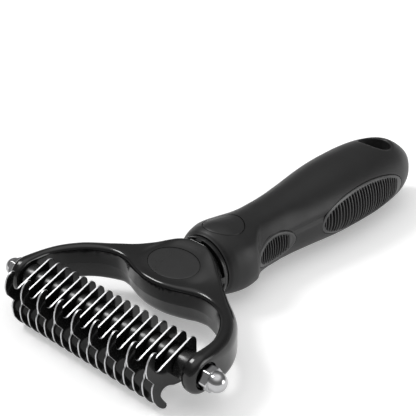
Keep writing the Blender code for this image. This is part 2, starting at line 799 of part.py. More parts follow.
def make_core():
    """The rigid tube inside the handle, with a flange behind the collar."""
    bore = TANG_RADIUS + GAP
    profile = [
        (0.0, CORE_END),
        (CORE_RADIUS - 1.5, CORE_END),
        (CORE_RADIUS, CORE_END - 3.0),
        (CORE_RADIUS, CORE_FLANGE_END),
        (CORE_FLANGE_RADIUS, CORE_FLANGE_END),
        (CORE_FLANGE_RADIUS, HANDLE_START),
        (bore, HANDLE_START),
        (bore, TANG_END + GAP),
        (0.0, TANG_END + GAP),
    ]
    core = turned("handle_core", profile, 20, CORE)
    core.rotation_euler = (0.0, math.pi / 2, 0.0)
    core.location = put(0.0, 0.0, 0.0)
    hole = cylinder(
        "core_pin_hole", PIN_RADIUS + GAP, (PIN_X, 0, -12.0), (PIN_X, 0, 12.0), "Z", 16, cutter=True
    )
    boolean(core, hole)
    cylinder(
        "tang_pin", PIN_RADIUS, (PIN_X, 0, -CORE_RADIUS + 0.3), (PIN_X, 0, CORE_RADIUS - 0.3), "Z", 16, STEEL
    )
    return core


def make_shell():
    """The soft handle cover: an outer skin with a cavity that opens at the front."""
    bm = loft(handle_rings(HANDLE_STATIONS, 28), True, True)
    shell = add_object("handle_cover", mesh_from(bm, "handle_cover", 30.0), RUBBER)
    cavity_profile = [
        (0.0, CORE_END + GAP),
        (CORE_RADIUS - 1.5 + GAP, CORE_END + GAP),
        (CORE_RADIUS + GAP, CORE_END - 3.0),
        (CORE_RADIUS + GAP, CORE_FLANGE_END + GAP),
        (CORE_FLANGE_RADIUS + GAP, CORE_FLANGE_END + GAP),
        (CORE_FLANGE_RADIUS + GAP, HANDLE_START - 2.0),
        (0.0, HANDLE_START - 2.0),
    ]
    cavity = turned("core_cavity", cavity_profile, 20, None, cutter=True)
    cavity.rotation_euler = (0.0, math.pi / 2, 0.0)
    cavity.location = put(0.0, 0.0, 0.0)
    boolean(shell, cavity)
    hole = cylinder(
        "hang_hole",
        HANG_HOLE_RADIUS,
        (HANG_HOLE_X, 0, -20.0),
        (HANG_HOLE_X, 0, 20.0),
        "Z",
        36,
        cutter=True,
    )
    boolean(shell, hole)
    for side, word in ((-1, "near"), (1, "far")):
        for label, oval, floor in (
            ("rear", REAR_GRIP, REAR_GRIP_FLOOR),
            ("front", FRONT_GRIP, FRONT_GRIP_FLOOR),
        ):
            recess = oval_prism(
                f"{label}_grip_recess_{word}",
                oval,
                "Y",
                side * floor,
                side * 20.0,
                GAP / 2,
                cutter=True,
            )
            boolean(shell, recess)
    for side, word in ((1, "upper"), (-1, "lower")):
        recess = oval_prism(
            "thumb_recess_" + word,
            THUMB_PAD,
            "Z",
            side * THUMB_FLOOR,
            side * 20.0,
            GAP / 2,
            cutter=True,
        )
        boolean(shell, recess)
    return shell


def build():
    make_yoke()
    make_axle()
    make_blades()
    make_spacers()
    for side, word in ((-1, "near"), (1, "far")):
        make_nut(side, "dome_nut_" + word)
        make_washer(side, "nut_washer_" + word)
        make_grip(f"rear_grip_{word}", REAR_GRIP, REAR_GRIP_FLOOR, 28, 103.6, 144.8, 0.7, side)
        make_grip(f"front_grip_{word}", FRONT_GRIP, FRONT_GRIP_FLOOR, 12, 70.2, 84.6, 0.6, side)
    make_collar()
    make_core()
    make_shell()
    make_thumb_pad("thumb_pad_upper", 1)
    make_thumb_pad("thumb_pad_lower", -1)


build()
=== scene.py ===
"""Looks of the dematting comb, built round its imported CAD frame.

Lengths are in millimetres in layout coordinates (X = 0 at the blade gullets, Z = 0 on the
common axis) and become metres in put(). The layout is tied to the frame through the axle.
"""

import math

import bmesh
import bpy
from mathutils import Matrix, Vector


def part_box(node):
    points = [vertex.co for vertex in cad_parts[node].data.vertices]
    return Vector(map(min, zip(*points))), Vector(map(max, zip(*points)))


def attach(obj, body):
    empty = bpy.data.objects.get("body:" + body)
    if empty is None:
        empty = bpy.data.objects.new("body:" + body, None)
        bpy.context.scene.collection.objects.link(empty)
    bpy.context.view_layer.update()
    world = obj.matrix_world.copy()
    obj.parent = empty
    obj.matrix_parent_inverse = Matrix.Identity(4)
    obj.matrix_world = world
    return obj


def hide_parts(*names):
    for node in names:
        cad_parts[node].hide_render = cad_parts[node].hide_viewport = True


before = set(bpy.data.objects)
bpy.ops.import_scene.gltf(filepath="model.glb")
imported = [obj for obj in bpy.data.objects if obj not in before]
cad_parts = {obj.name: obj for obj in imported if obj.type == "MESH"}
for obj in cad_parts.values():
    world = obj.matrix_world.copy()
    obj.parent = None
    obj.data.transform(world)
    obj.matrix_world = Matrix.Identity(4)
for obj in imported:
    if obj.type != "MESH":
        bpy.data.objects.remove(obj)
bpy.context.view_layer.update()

MM = 0.001
AXLE_X = 9.9
WELD = 0.0000005
axle_low, axle_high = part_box("blade_axle")
AXLE = (axle_low + axle_high) / 2
LAYOUT_X = AXLE[0] / MM - AXLE_X
AXIS_Z = AXLE[2] / MM

# ---------------------------------------------------------------- camera

CAMERA_PLACE = (-174.4, -214.4, 191.94)
CAMERA_YAW = 0.75097
CAMERA_PITCH = 0.49742
CAMERA_LENS = 94.7
SENSOR = 36.0
CLIP = (0.01, 50.0)


def put(x, y, z):
    """Layout millimetres to world metres."""
    return Vector(((x + LAYOUT_X) * MM, y * MM, (z + AXIS_Z) * MM))


def make_camera():
    data = bpy.data.cameras.new("camera")
    data.sensor_width = SENSOR
    data.lens = CAMERA_LENS
    data.clip_start, data.clip_end = CLIP
    camera = bpy.data.objects.new("camera", data)
    bpy.context.scene.collection.objects.link(camera)
    flat = math.cos(CAMERA_PITCH)
    ahead = Vector(
        (math.cos(CAMERA_YAW) * flat, math.sin(CAMERA_YAW) * flat, -math.sin(CAMERA_PITCH))
    )
    right = Vector((math.sin(CAMERA_YAW), -math.cos(CAMERA_YAW), 0.0))
    turn = Matrix((right, right.cross(ahead), -ahead)).transposed()
    camera.matrix_world = Matrix.Translation(put(*CAMERA_PLACE)) @ turn.to_4x4()
    bpy.context.scene.camera = camera


# ---------------------------------------------------------------- materials

NOISE_ROUGHNESS = 0.55
COLOUR_SPAN = (0.3, 0.7)
ROUGHNESS_SPAN = (0.7, 1.3)
GRAIN_DEPTH = 0.00002


def link_noise(tree, coord, scale, detail, stretch=(1.0, 1.0, 1.0)):
    """Noise in the piece's own metres, stretched along its axes."""
    mapping = tree.nodes.new("ShaderNodeMapping")
    mapping.inputs["Scale"].default_value = stretch
    tree.links.new(coord.outputs["Object"], mapping.inputs["Vector"])
    noise = tree.nodes.new("ShaderNodeTexNoise")
    noise.inputs["Scale"].default_value = scale
    noise.inputs["Detail"].default_value = detail
    noise.inputs["Roughness"].default_value = NOISE_ROUGHNESS
    tree.links.new(mapping.outputs["Vector"], noise.inputs["Vector"])
    return noise.outputs["Fac"]


def map_range(tree, value, low, high, to_low, to_high):
    node = tree.nodes.new("ShaderNodeMapRange")
    node.inputs["From Min"].default_value = low
    node.inputs["From Max"].default_value = high
    node.inputs["To Min"].default_value = to_low
    node.inputs["To Max"].default_value = to_high
    tree.links.new(value, node.inputs["Value"])
    return node.outputs["Result"]


def surface(name, dark, light, rough, metallic=0.0, blotch=180.0, grain=2600.0, bump=0.15,
            stretch=(1.0, 1.0, 1.0), specular=0.5):
    """A procedural finish: colour drifts with a slow noise, roughness with both noises, and a
    fine grain lifts the surface."""
    made = bpy.data.materials.new(name)
    made.use_nodes = True
    tree = made.node_tree
    shader = tree.nodes["Principled BSDF"]
    shader.inputs["Metallic"].default_value = metallic
    shader.inputs["Specular IOR Level"].default_value = specular
    coord = tree.nodes.new("ShaderNodeTexCoord")
    slow = link_noise(tree, coord, blotch, 4.0)
    fine = link_noise(tree, coord, grain, 3.0, stretch)
    ramp = tree.nodes.new("ShaderNodeValToRGB")
    for stop, place, colour in zip(ramp.color_ramp.elements, COLOUR_SPAN, (dark, light)):
        stop.position = place
        stop.color = (*colour, 1.0)
    tree.links.new(slow, ramp.inputs["Fac"])
    tree.links.new(ramp.outputs["Color"], shader.inputs["Base Color"])
    blend = tree.nodes.new("ShaderNodeMath")
    blend.operation = "ADD"
    tree.links.new(slow, blend.inputs[0])
    tree.links.new(fine, blend.inputs[1])
    roughness = map_range(tree, blend.outputs[0], *ROUGHNESS_SPAN, *rough)
    tree.links.new(roughness, shader.inputs["Roughness"])
    lift = tree.nodes.new("ShaderNodeBump")
    lift.inputs["Strength"].default_value = bump
    lift.inputs["Distance"].default_value = GRAIN_DEPTH
    tree.links.new(fine, lift.inputs["Height"])
    tree.links.new(lift.outputs["Normal"], shader.inputs["Normal"])
    return made


def grey(value, blue=1.02):
    return (value, value, value * blue)


YOKE_FINISH = surface(
    "yoke_nylon", grey(0.0035), grey(0.0055), (0.12, 0.18), grain=5200.0, bump=0.04
)
COLLAR_FINISH = surface("collar_nylon", grey(0.0035), grey(0.0055), (0.20, 0.28), bump=0.06)
BADGE_FINISH = surface(
    "badge_satin", grey(0.0060), grey(0.0080), (0.26, 0.34), grain=4200.0, bump=0.10
)
RUBBER_FINISH = surface(
    "soft_rubber", grey(0.0070), grey(0.0092), (0.40, 0.50), grain=3800.0, bump=0.16, specular=0.36
)
# The cover's own rubber, made lighter on the hole's wall only: painted light on the hole's
# wall. The cover's own rubber, made lighter in the hole only to come near the photo's tone
# there
HOLE_PAINTED_LIGHT_FINISH = surface(
    "hole_rubber_painted_light", grey(0.026), grey(0.032), (0.40, 0.50), grain=3800.0, bump=0.16, specular=0.42
)
PAD_FINISH = surface(
    "pad_rubber", grey(0.0070), grey(0.0095), (0.38, 0.48), grain=4600.0, bump=0.2, specular=0.42
)
GRIP_FINISH = surface(
    "ribbed_rubber", grey(0.016), grey(0.022), (0.28, 0.38), grain=4200.0, bump=0.14, specular=0.6
)
# The grips' own rubber, made darker in the grooves only: painted shade in the grooves.
# The grips' own rubber, made darker in the grooves only to come near the photo's contrast
GROOVE_PAINTED_SHADE_FINISH = surface(
    "groove_rubber_painted_shade", grey(0.0020), grey(0.0032), (0.50, 0.62), grain=4200.0, bump=0.2, specular=0.25
)
COATING_FINISH = surface(
    "blade_coating", grey(0.004), grey(0.007), (0.09, 0.15), blotch=260.0, grain=3400.0, bump=0.04
)
EDGE_FINISH = surface(
    "blade_edge_steel", grey(0.50), grey(0.62), (0.40, 0.50), 1.0, blotch=500.0, grain=2600.0,
    bump=0.12, stretch=(0.25, 3.0, 0.25),
)
SPACER_FINISH = surface(
    "spacer_nylon", grey(0.004), grey(0.006), (0.20, 0.30), blotch=320.0, grain=3000.0, bump=0.06
)
CHROME_FINISH = surface(
    "polished_chrome", grey(0.42), grey(0.50), (0.06, 0.12), 1.0, blotch=420.0, grain=1800.0,
    bump=0.03,
)
STEEL_FINISH = surface(
    "drawn_steel", grey(0.42), grey(0.52), (0.22, 0.34), 1.0, grain=2400.0, bump=0.15,
    stretch=(3.0, 0.2, 3.0),
)
WASHER_FINISH = surface("washer_black", grey(0.008), grey(0.014), (0.3, 0.4), 0.6, bump=0.1)
CORE_FINISH = surface("core_plastic", grey(0.008), grey(0.012), (0.42, 0.55), bump=0.2)
FLOOR_FINISH = surface(
    "paper_floor", (0.88, 0.88, 0.88), (0.90, 0.90, 0.90), (0.85, 0.95), blotch=6.0, grain=900.0,
    bump=0.04, specular=0.1,
)
# Stands in for a bright backdrop; its level was chosen, as all the lights' levels were
FLOOR_GLOW = 0.30


# ---------------------------------------------------------------- helpers


def new_object(name, mesh, *finishes):
    obj = bpy.data.objects.new(name, mesh)
    bpy.context.scene.collection.objects.link(obj)
    if finishes:
        mesh.materials.clear()
        for finish in finishes:
            mesh.materials.append(finish)
    return obj


def finish_mesh(bm, name, sharp):
    """A smooth-shaded mesh with edges over sharp degrees left sharp."""
    bmesh.ops.recalc_face_normals(bm, faces=bm.faces)
    mesh = bpy.data.meshes.new(name)
    bm.to_mesh(mesh)
    bm.free()
    mesh.shade_smooth()
    mesh.set_sharp_from_angle(angle=math.radians(sharp))
    return mesh


def loft(rings, cap_first, cap_last):
    """Quads between closed rings of equally many points, with or without end faces."""
    bm = bmesh.new()
    rows = [[bm.verts.new(p) for p in ring] for ring in rings]
    for a, b in zip(rows, rows[1:]):
        for i in range(len(a)):
            j = (i + 1) % len(a)
            bm.faces.new((a[i], a[j], b[j], b[i]))
    if cap_first:
        bm.faces.new(rows[0])
    if cap_last:
        bm.faces.new(rows[-1])
    return bm


def turned_mesh(name, profile, steps, place, axis, sharp=35.0):
    """A closed (radius, height) profile turned about an axis through a layout point."""
    along = {"X": Vector((1, 0, 0)), "Y": Vector((0, 1, 0)), "Z": Vector((0, 0, 1))}[axis]
    across = {"X": Vector((0, 1, 0)), "Y": Vector((0, 0, 1)), "Z": Vector((1, 0, 0))}[axis]
    third = along.cross(across)
    rings = []
    for number in range(steps):
        turn = 2 * math.pi * number / steps
        out = across * math.cos(turn) + third * math.sin(turn)
        rings.append([Vector(place) + out * r + along * h for r, h in profile])
    rings.append(rings[0])
    bm = loft([[put(*p) for p in ring] for ring in rings], False, False)
    bmesh.ops.remove_doubles(bm, verts=bm.verts, dist=WELD)
    return finish_mesh(bm, name, sharp)


def carve(obj, cutters, operation="DIFFERENCE", sharp=35.0):
    """Applies one exact Boolean with all the cutters, which are then removed."""
    group = bpy.data.collections.new("cutters_" + obj.name)
    for cutter in cutters:
        group.objects.link(cutter)
    modifier = obj.modifiers.new("carve", "BOOLEAN")
    modifier.operation = operation
    modifier.solver = "EXACT"
    modifier.operand_type = "COLLECTION"
    modifier.collection = group
    graph = bpy.context.evaluated_depsgraph_get()
    mesh = bpy.data.meshes.new_from_object(obj.evaluated_get(graph))
    finishes = list(obj.data.materials)
    obj.modifiers.clear()
    obj.data = mesh
    mesh.materials.clear()
    for finish in finishes:
        mesh.materials.append(finish)
    mesh.polygons.foreach_set("material_index", [0] * len(mesh.polygons))
    mesh.shade_smooth()
    mesh.set_sharp_from_angle(angle=math.radians(sharp))
    for cutter in cutters:
        bpy.data.objects.remove(cutter)
    bpy.data.collections.remove(group)
    return obj


def settle(obj, slot, *nodes):
    """The piece rides on the one body and stands for its CAD nodes."""
    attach(obj, "root")
    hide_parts(*nodes)
    return obj


def spline(knots, x):
    """A smooth cubic through (x, value) knots that doesn't overshoot them."""
    if x <= knots[0][0]:
        return knots[0][1]
    if x >= knots[-1][0]:
        return knots[-1][1]
    i = max(k for k in range(len(knots) - 1) if knots[k][0] <= x)

    def slope(k):
        if k <= 0 or k >= len(knots) - 1:
            return 0.0 if k <= 0 else (knots[-1][1] - knots[-2][1]) / (knots[-1][0] - knots[-2][0])
        left = (knots[k][1] - knots[k - 1][1]) / (knots[k][0] - knots[k - 1][0])
        right = (knots[k + 1][1] - knots[k][1]) / (knots[k + 1][0] - knots[k][0])
        return 0.0 if left * right <= 0 else 2 * left * right / (left + right)

    width = knots[i + 1][0] - knots[i][0]
    t = (x - knots[i][0]) / width
    return (
        knots[i][1] * (2 * t**3 - 3 * t**2 + 1)
        + slope(i) * width * (t**3 - 2 * t**2 + t)
        + knots[i + 1][1] * (3 * t**2 - 2 * t**3)
        + slope(i + 1) * width * (t**3 - t**2)
    )


def smooth_step(low, high, x):
    t = min(1.0, max(0.0, (x - low) / (high - low)))
    return t * t * (3 - 2 * t)


def catmull(points, per_span):
    """An open Catmull-Rom curve through the points, per_span steps to a span."""
    points = [Vector(p) for p in points]
    out = []
    for i in range(len(points) - 1):
        p0 = points[max(i - 1, 0)]
        p1, p2 = points[i], points[i + 1]
        p3 = points[min(i + 2, len(points) - 1)]
        for step in range(per_span):
            t = step / per_span
            a = 2 * p1 + (p2 - p0) * t
            b = (2 * p0 - 5 * p1 + 4 * p2 - p3) * t**2
            c = (3 * p1 - p0 - 3 * p2 + p3) * t**3
            out.append(0.5 * (a + b + c))
    out.append(points[-1])
    return out


# ---------------------------------------------------------------- blades

BLADES = 17
PITCH = 4.0
BLADE_THICKNESS = 0.8
GROUND_EDGE = 0.13
BLADE_BORE_HALF = 2.3


def blade_outline(with_upper_hook):
    """The blade's outline in X and Z from the axle's centre. Its points started from ones that
    scratch scripts traced from the photo through the fitted camera, and were adjusted by hand."""
    tab = [(3.1, 6.85), (4.1, 7.05), (5.1, 6.6), (5.75, 5.7), (5.95, 4.6)]
    front = [(-8.3, 2.65)]
    if with_upper_hook:
        gullet = [(-8.9, 2.3), (-9.9, 2.04), (-10.8, 2.5), (-11.35, 3.9), (-11.3, 5.6)]
        hook_inner = [(-10.95, 7.0), (-10.2, 8.35)]
        hook_outer = [(-10.35, 8.85), (-11.3, 9.2), (-12.5, 8.65), (-13.55, 7.5)]
        crescent = [(-14.25, 5.9), (-14.5, 4.0), (-14.15, 1.9)]
        upper = front + catmull(gullet, 6) + catmull(hook_inner + hook_outer, 4)
        upper = [Vector(p) for p in upper] + catmull(crescent, 6)
    else:
        upper = catmull([(-8.3, 2.65), (-9.7, 1.9), (-10.9, 0.8), (-11.5, -0.4)], 5)
    lower_outer = [(-11.6, -1.5), (-12.3, -2.6), (-12.5, -4.2), (-12.15, -7.0)]
    lower_outer += [(-11.45, -8.5), (-10.3, -10.3), (-8.8, -11.8), (-7.6, -12.4)]
    tip = [(-6.85, -11.8), (-6.95, -10.8)]
    lower_inner = [(-8.4, -8.7), (-9.2, -6.8), (-8.7, -5.45), (-7.45, -4.85), (-5.9, -5.0)]
    lower_inner += [(-3.9, -5.9), (-1.7, -6.4)]
    back = [(1.5, -6.6), (4.2, -6.3), (5.5, -5.2), (5.95, -3.8)]
    points = catmull(tab[::-1], 4) + upper
    points += catmull(lower_outer, 6) + catmull(tip, 2)
    points += catmull(lower_inner, 6) + catmull(back, 4)
    return [(p[0], p[1]) for p in points]


def blade_mesh(name, with_upper_hook):
    """A coated plate with ground, uncoated edges."""
    curve = bpy.data.curves.new(name, "CURVE")
    curve.dimensions = "2D"
    curve.fill_mode = "BOTH"
    curve.extrude = (BLADE_THICKNESS / 2 - GROUND_EDGE) * MM
    curve.bevel_depth = GROUND_EDGE * MM
    curve.bevel_resolution = 0
    curve.offset = -GROUND_EDGE * MM
    half = BLADE_BORE_HALF
    bore = [(half, half), (-half, half), (-half, -half), (half, -half)]
    for outline in (blade_outline(with_upper_hook), bore):
        poly = curve.splines.new("POLY")
        poly.points.add(len(outline) - 1)
        for point, (x, z) in zip(poly.points, outline):
            point.co = (x * MM, z * MM, 0.0, 1.0)
        poly.use_cyclic_u = True
    holder = bpy.data.objects.new(name, curve)
    bpy.context.scene.collection.objects.link(holder)
    graph = bpy.context.evaluated_depsgraph_get()
    mesh = bpy.data.meshes.new_from_object(holder.evaluated_get(graph))
    bpy.data.objects.remove(holder)
    bm = bmesh.new()
    bm.from_mesh(mesh)
    bpy.data.meshes.remove(mesh)
    bmesh.ops.remove_doubles(bm, verts=bm.verts, dist=WELD)
    bmesh.ops.recalc_face_normals(bm, faces=bm.faces)
    for face in bm.faces:
        face.material_index = 0 if abs(face.normal.z) > 0.3 else 1
    made = finish_mesh(bm, name, 30.0)
    made.materials.append(COATING_FINISH)
    made.materials.append(EDGE_FINISH)
    return made


def blade_y(number):
    return (number - (BLADES + 1) / 2) * PITCH


def make_blades():
    hooked = blade_mesh("blade_two_hooks", True)
    plain = blade_mesh("blade_lower_hook", False)
    for number in range(1, BLADES + 1):
        node = f"blade_{number:02d}"
        obj = new_object("look_" + node, hooked if number % 2 else plain)
        obj.rotation_euler = (math.pi / 2, 0.0, 0.0)
        obj.location = put(AXLE_X, blade_y(number), 0.0)
        settle(obj, "black_steel", node)


# ---------------------------------------------------------------- spacers, nuts and washers

SPACER_BORE = 3.2
SPACER_RADIUS = 4.6
SPACER_PLAY = 0.3
END_SPACER_REACH = 0.12
TURNED_STEPS = 64


def rounded_tube(bore, radius, half, edge):
    """A turned profile, outer side first, with rounded outer edges."""
    out = [(bore, half)]
    for step in range(5):
        angle = math.pi / 2 * (1 - step / 4)
        out.append((radius - edge + edge * math.cos(angle), half - edge + edge * math.sin(angle)))
    out += [(r, -h) for r, h in out[::-1]]
    return out


def make_spacers():
    length = PITCH - BLADE_THICKNESS - SPACER_PLAY
    places = []
    for number in range(1, BLADES):
        middle = blade_y(number) + PITCH / 2
        places.append((f"spacer_{number:02d}", middle, length / 2, 0.35))
    for name in ("end_spacer_near", "end_spacer_far"):
        low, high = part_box(name)
        middle = (low[1] + high[1]) / 2 / MM
        half = (high[1] - low[1]) / 2 / MM + END_SPACER_REACH
        places.append((name, middle, half, 0.3))
    for name, middle, half, edge in places:
        profile = rounded_tube(SPACER_BORE, SPACER_RADIUS, half, edge)
        mesh = turned_mesh(name, profile, TURNED_STEPS, (AXLE_X, middle, 0.0), "Y")
        settle(new_object("look_" + name, mesh, SPACER_FINISH), "spacer_nylon", name)


NUT_FLATS = 7.0
NUT_BASE = 41.4
NUT_HEX = 3.6
NUT_SHOULDER = 0.85
NUT_DOME = 3.15
NUT_BORE = 2.2
NUT_SIDES = 96
NUT_LEAN = math.radians(30.0)
NUT_CORNER = math.radians(27.0)
DOME_STEPS = 14
WASHER_RADIUS = 4.0


def nut_radius(turn, height):
    """Radius of the hexagon with its chamfered corners, at an angle and a height."""
    sector = (turn + math.pi / 6) % (math.pi / 3) - math.pi / 6
    flat = NUT_FLATS / 2 / math.cos(sector)
    flat = min(flat, NUT_FLATS / 2 / math.cos(NUT_CORNER))
    chamfer = min(height, NUT_HEX - height)
    return min(flat, NUT_FLATS / 2 + 0.02 + 1.6 * chamfer)


def nut_ring(side, height, radius=None):
    """A ring of the nut at that height over its base: round, or the hexagon without a radius."""
    ring = []
    for number in range(NUT_SIDES):
        turn = 2 * math.pi * number / NUT_SIDES
        reach = nut_radius(turn, height) if radius is None else radius
        x = AXLE_X + reach * math.cos(turn + NUT_LEAN)
        z = reach * math.sin(turn + NUT_LEAN)
        ring.append(put(x, side * (NUT_BASE + height), z))
    return ring


def make_nuts():
    chamfer = (0.0, 0.12, 0.3, 0.45)
    hexagon = list(chamfer) + [NUT_HEX - height for height in chamfer[::-1]]
    for side, word in ((-1, "near"), (1, "far")):
        rings = [nut_ring(side, 0.35, NUT_BORE), nut_ring(side, 0.0, NUT_BORE + 0.2)]
        rings += [nut_ring(side, height) for height in hexagon]
        rings.append(nut_ring(side, NUT_HEX + 0.01, NUT_DOME + 0.12))
        rings.append(nut_ring(side, NUT_HEX + 0.14, NUT_DOME))
        rings.append(nut_ring(side, NUT_HEX + NUT_SHOULDER, NUT_DOME))
        for step in range(1, DOME_STEPS):
            angle = math.pi / 2 * step / DOME_STEPS
            height = NUT_HEX + NUT_SHOULDER + NUT_DOME * math.sin(angle)
            rings.append(nut_ring(side, height, NUT_DOME * math.cos(angle)))
        mesh = finish_mesh(loft(rings, True, True), "nut", 28.0)
        nut = new_object("look_dome_nut_" + word, mesh, CHROME_FINISH)
        settle(nut, "chrome", "dome_nut_" + word)
        low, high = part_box("nut_washer_" + word)
        half = (high[1] - low[1]) / 2 / MM
        place = (AXLE_X, (low[1] + high[1]) / 2 / MM, 0.0)
        profile = rounded_tube(NUT_BORE, WASHER_RADIUS, half, 0.2)
        mesh = turned_mesh("washer", profile, TURNED_STEPS, place, "Y")
        washer = new_object("look_nut_washer_" + word, mesh, WASHER_FINISH)
        settle(washer, "steel", "nut_washer_" + word)


# ---------------------------------------------------------------- yoke

# Each row holds the outer edge, the crease where the face ends and the inner edge, as (X, Y).
# The outer and inner edges were worked out by scratch scripts, which traced the photo's outline
# through the fitted camera, and then adjusted by hand. The crease was set partly from such points.
YOKE_PLAN = [
    ((9.9, 41.9), (9.9, 39.5), (9.9, 37.0)),
    ((14.0, 41.7), (13.8, 39.0), (13.5, 37.0)),
    ((18.4, 41.2), (18.0, 38.2), (17.5, 36.6)),
    ((22.9, 40.0), (21.6, 37.0), (20.9, 35.3)),
    ((27.4, 37.7), (25.1, 35.0), (23.9, 33.6)),
    ((31.4, 34.6), (28.7, 32.2), (27.2, 31.0)),
    ((34.4, 31.2), (31.3, 29.2), (29.6, 28.1)),
    ((37.0, 27.3), (34.0, 26.0), (31.1, 25.3)),
    ((39.5, 23.4), (37.3, 22.4), (32.1, 22.2)),
    ((42.1, 19.8), (40.2, 18.8), (32.5, 18.8)),
    ((44.7, 16.8), (42.6, 15.9), (32.0, 15.2)),
    ((47.3, 14.2), (44.3, 13.2), (30.9, 12.2)),
    ((49.5, 12.2), (45.9, 10.9), (29.8, 9.2)),
    ((50.1, 11.1), (47.0, 9.1), (29.2, 7.2)),
    ((50.1, 8.6), (48.1, 7.1), (28.7, 5.3)),
    ((50.1, 5.8), (49.2, 4.9), (28.4, 3.6)),
    ((50.1, 2.9), (49.8, 2.6), (28.25, 1.8)),
    ((50.1, 0.0), (49.9, 0.0), (28.2, 0.0)),
]
YOKE_HALF_HEIGHT = 6.5
SWEEP_START = 31.0
SWEEP = 0.0497
SWEEP_WIDTHS = (6.0, 22.0)
NECK_END = 50.1
NECK_RADIUS = 11.2
INNER_FILLET = 1.6
UPPER_FILLET = 4.5
EYE_FILLET = 2.4
LOWER_FILLET = 2.9
PARTING_STEP = 0.45
NECK_BLEND = 0.85
EYE_STEPS = 14

BORE_RADIUS = 2.2
POCKET_FACE = 41.9
POCKET_RADIUS = 4.4
POCKET_DEPTH = 2.0
TANG_START = 44.0
TANG_LENGTH = 48.0
TANG_RADIUS = 5.6

BADGE_CENTRE = 39.0
BADGE_LEVEL = 7.7
BADGE_SLOPE = math.tan(math.radians(11.5))
BADGE_HALF_X = 6.7
BADGE_HALF_Y = 10.0
BADGE_BLEND = 1.45
BADGE_FLOOR = -1.2
BADGE_BASE = -0.9


def steps(count, first=0, last=None):
    """The fractions first/count to last/count, 0 to 1 unless first and last are given."""
    last = count if last is None else last
    return [k / count for k in range(first, last + 1)]


def face_level(x, y):
    """Height of the yoke's face over its middle plane: it sweeps up towards the neck and is
    flat round the badge."""
    run = max(0.0, x - SWEEP_START)
    swept = YOKE_HALF_HEIGHT + SWEEP * run**1.5 * (1.0 - smooth_step(*SWEEP_WIDTHS, abs(y)))
    flat = BADGE_LEVEL + BADGE_SLOPE * (x - BADGE_CENTRE)
    away = math.hypot((x - BADGE_CENTRE) / BADGE_HALF_X, y / BADGE_HALF_Y)
    return flat + (swept - flat) * smooth_step(1.0, BADGE_BLEND, away)


def yoke_ring(row, turn):
    """One closed section of the yoke, starting at the parting line of its inner wall. turn is
    how far the section has turned round the arm's rounded end."""
    outer, crease, inner = (Vector(point) for point in row)
    width = (outer - inner).length
    to_crease = (crease - inner).length
    at_end = outer[0] > NECK_END - 0.01
    neck = 1.0 if at_end else NECK_BLEND * smooth_step(39.0, NECK_END, outer[0])
    end_height = math.sqrt(max(0.0, NECK_RADIUS**2 - outer[1] ** 2)) if at_end else 0.0
    end_height = min(end_height, face_level(*outer))
    upper_drop = EYE_FILLET + (UPPER_FILLET - EYE_FILLET) * smooth_step(AXLE_X, 22.0, outer[0])
    low_crease = outer.lerp(inner, min(LOWER_FILLET, 0.5 * width) / width).lerp(crease, neck)
    low_depth = min(4.0, 0.45 * width)
    draft = 0.25 * low_depth

    def flank(edge, fraction, drop):
        angle = fraction * math.pi / 2
        height = face_level(*edge)
        rounded = edge.lerp(outer, math.sin(angle))
        rounded_height = height - drop * (1.0 - math.cos(angle))
        flared = edge.lerp(outer, fraction)
        flared_height = height + (end_height - height) * fraction**2
        plan = rounded.lerp(flared, neck)
        return plan, rounded_height + (flared_height - rounded_height) * neck

    def face(depth):
        plan = inner.lerp(crease, depth / to_crease)
        return plan, face_level(*plan)

    def wall(depth, drop):
        return inner.lerp(crease, depth / to_crease), YOKE_HALF_HEIGHT - drop

    def arc(radius, fraction):
        angle = fraction * math.pi / 2
        return radius * (1.0 - math.cos(angle)), radius * (1.0 - math.sin(angle))

    step = min(PARTING_STEP, draft * 0.7)
    upper = [wall(0.0, 6.3), wall(0.0, 4.0), wall(0.0, 2.6)]
    upper += [wall(*arc(INNER_FILLET, f)) for f in steps(6, 0, 5)]
    upper.append(face(INNER_FILLET))
    upper += [face(INNER_FILLET + (to_crease - INNER_FILLET) * f) for f in steps(16, 1, 15)]
    upper += [flank(crease, f, upper_drop) for f in steps(10)]
    lower = [flank(low_crease, 1.0 - f, LOWER_FILLET) for f in steps(10)]
    low_width = (low_crease - inner).length
    lower += [face(low_width + (low_depth - low_width) * f) for f in steps(16, 1, 15)]
    low_fillet = low_depth - draft
    for f in steps(6):
        back, down = arc(low_fillet, 1.0 - f)
        lower.append(wall(draft + back, down))
    wall_top = YOKE_HALF_HEIGHT - 0.15
    lower += [wall(step + (draft - step) * 0.4, wall_top - 1.2), wall(step, wall_top)]
    if turn:
        share = math.sin(turn)
        mirrored = upper[::-1]
        count = len(mirrored) - 1
        blended = []
        for number, (plan, level) in enumerate(lower):
            match = mirrored[round(number * count / (len(lower) - 1))]
            blended.append((plan.lerp(match[0], share), level + (match[1] - level) * share))
        lower = blended
    ring = upper + [(outer, 0.0)]
    ring += [(plan, -level) for plan, level in lower]
    back, up = math.sin(turn), math.cos(turn)
    return [put(plan[0] - abs(level) * back, plan[1], level * up) for plan, level in ring]


def yoke_rows():
    """YOKE_PLAN as smooth curves, with the neck's end made square."""
    columns = [catmull([row[k] for row in YOKE_PLAN], 5) for k in range(3)]
    rows = []
    for outer, crease, inner in zip(*columns):
        x = min(outer[0], NECK_END)
        if outer[0] > NECK_END - 0.15 and outer[1] <= NECK_RADIUS:
            x = NECK_END
        row = ((x, outer[1]), (crease[0], crease[1]), (inner[0], inner[1]))
        rows.append(tuple((along, max(0.0, across)) for along, across in row))
    return rows


